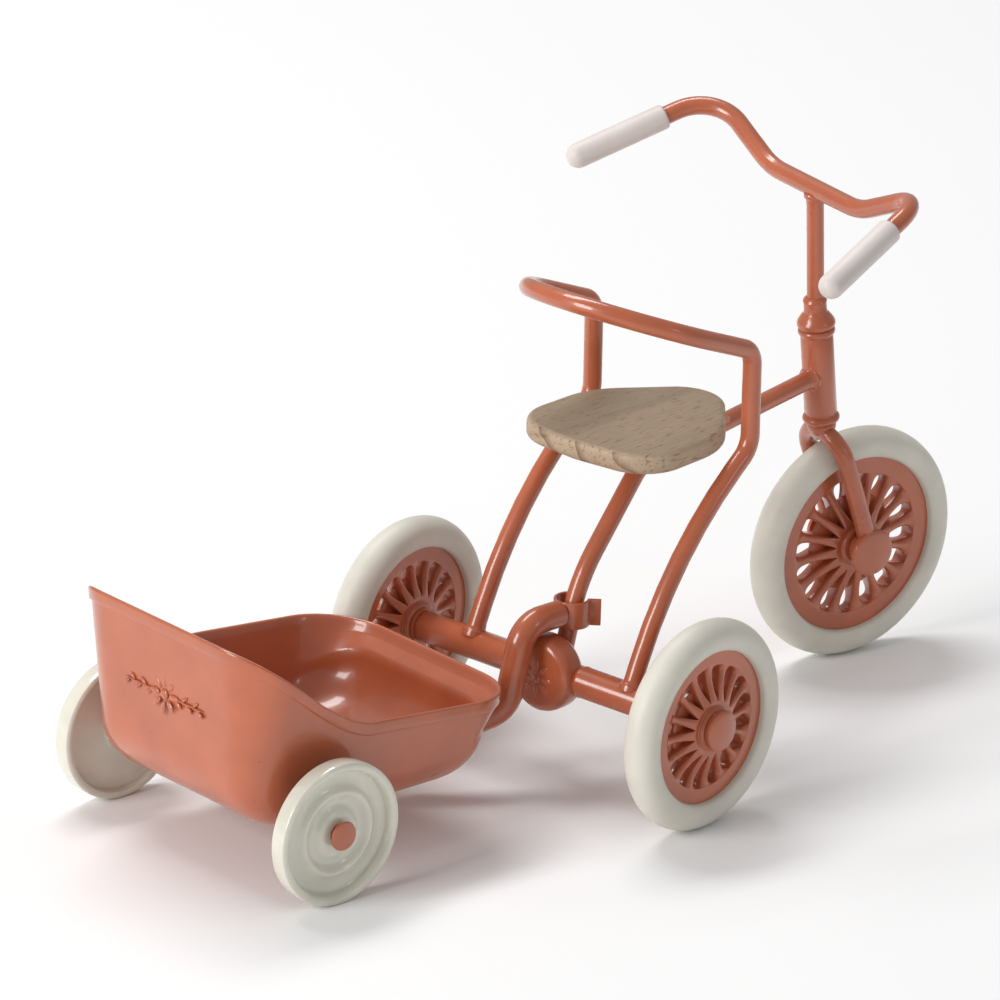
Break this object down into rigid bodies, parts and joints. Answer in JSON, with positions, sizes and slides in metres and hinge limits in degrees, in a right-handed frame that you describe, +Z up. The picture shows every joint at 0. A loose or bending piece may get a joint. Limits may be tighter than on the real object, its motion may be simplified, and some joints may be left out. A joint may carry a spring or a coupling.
{
  "type": "toy tricycle with trailer",
  "caption": "Doll-size enamelled metal tricycle with a wooden seat in a bent-rod armrest, a steered front wheel and a clip-on tub trailer; wheels, fork and hitch turn.",
  "frame": {"origin": "on the ground, under the middle of the tricycle's rear axle", "axes": "+X the way the tricycle travels, +Y to the rider's left, +Z up"},
  "size_m": [0.1652, 0.0797, 0.0905],
  "materials": {
    "coral_enamel": "glossy stoved enamel, coral red",
    "white_tyre": "satin off-white rubber",
    "white_grip": "satin off-white soft plastic",
    "cream_wheel": "semi-gloss cream plastic",
    "beech": "clear-varnished beech",
    "bare_steel": "bare drawn wire"
  },
  "bodies": {
    "frame": {"main_tube": "coral_enamel", "armrest_hoop": "coral_enamel", "head_tube": "coral_enamel", "rear_axle_tube": "coral_enamel", "axle_drum": "coral_enamel", "rear_axle": "bare_steel", "rear_axle_caps": "coral_enamel", "rear_washers": "bare_steel", "seat": "beech", "seat_bracket": "coral_enamel", "seat_screws": "bare_steel"},
    "steering": {"fork": "coral_enamel", "crown_race": "coral_enamel", "steerer": "bare_steel", "headset_cone": "coral_enamel", "stem": "coral_enamel", "handlebar": "coral_enamel", "grip_left": "white_grip", "grip_right": "white_grip", "front_axle": "bare_steel", "front_axle_caps": "coral_enamel", "front_washers": "bare_steel"},
    "front_wheel": {"front_tyre": "white_tyre", "front_disc": "coral_enamel"},
    "rear_wheel_left": {"rear_tyre_left": "white_tyre", "rear_disc_left": "coral_enamel"},
    "rear_wheel_right": {"rear_tyre_right": "white_tyre", "rear_disc_right": "coral_enamel"},
    "trailer": {"tub": "coral_enamel", "drawbar": "coral_enamel", "drawbar_rivets": "coral_enamel", "hitch_clip": "coral_enamel", "axle_strap": "coral_enamel", "strap_rivets": "coral_enamel", "wheel_rivets": "coral_enamel", "trailer_washers": "bare_steel"},
    "trailer_wheel_left": {"trailer_wheel_left": "cream_wheel"},
    "trailer_wheel_right": {"trailer_wheel_right": "cream_wheel"}
  },
  "joints": [
    {"name": "steering_turn", "type": "hinge", "parent": "frame", "child": "steering", "pos_m": [0.06357, 0, 0.05], "axis": [-0.1392, 0, 0.9903], "range_deg": [-57.2, 82.8]},
    {"name": "front_wheel_spin", "type": "hinge", "parent": "steering", "child": "front_wheel", "pos_m": [0.07219, -0.00097, 0.0195], "axis": [0.2194, 0.9751, 0.0308], "continuous": true},
    {"name": "rear_wheel_left_spin", "type": "hinge", "parent": "frame", "child": "rear_wheel_left", "pos_m": [0, 0.0305, 0.017], "axis": [0, 1, 0], "continuous": true},
    {"name": "rear_wheel_right_spin", "type": "hinge", "parent": "frame", "child": "rear_wheel_right", "pos_m": [0, -0.0305, 0.017], "axis": [0, 1, 0], "continuous": true},
    {"name": "trailer_yaw", "type": "hinge", "parent": "frame", "child": "trailer", "pos_m": [0.0042, 0, 0.026], "axis": [0, 0, 1], "range_deg": [-1, 34]},
    {"name": "trailer_wheel_left_spin", "type": "hinge", "parent": "trailer", "child": "trailer_wheel_left", "pos_m": [-0.05471, 0.04133, 0.0115], "axis": [0.1366, 0.9906, 0], "continuous": true},
    {"name": "trailer_wheel_right_spin", "type": "hinge", "parent": "trailer", "child": "trailer_wheel_right", "pos_m": [-0.06184, -0.01038, 0.0115], "axis": [0.1366, 0.9906, 0], "continuous": true}
  ]
}
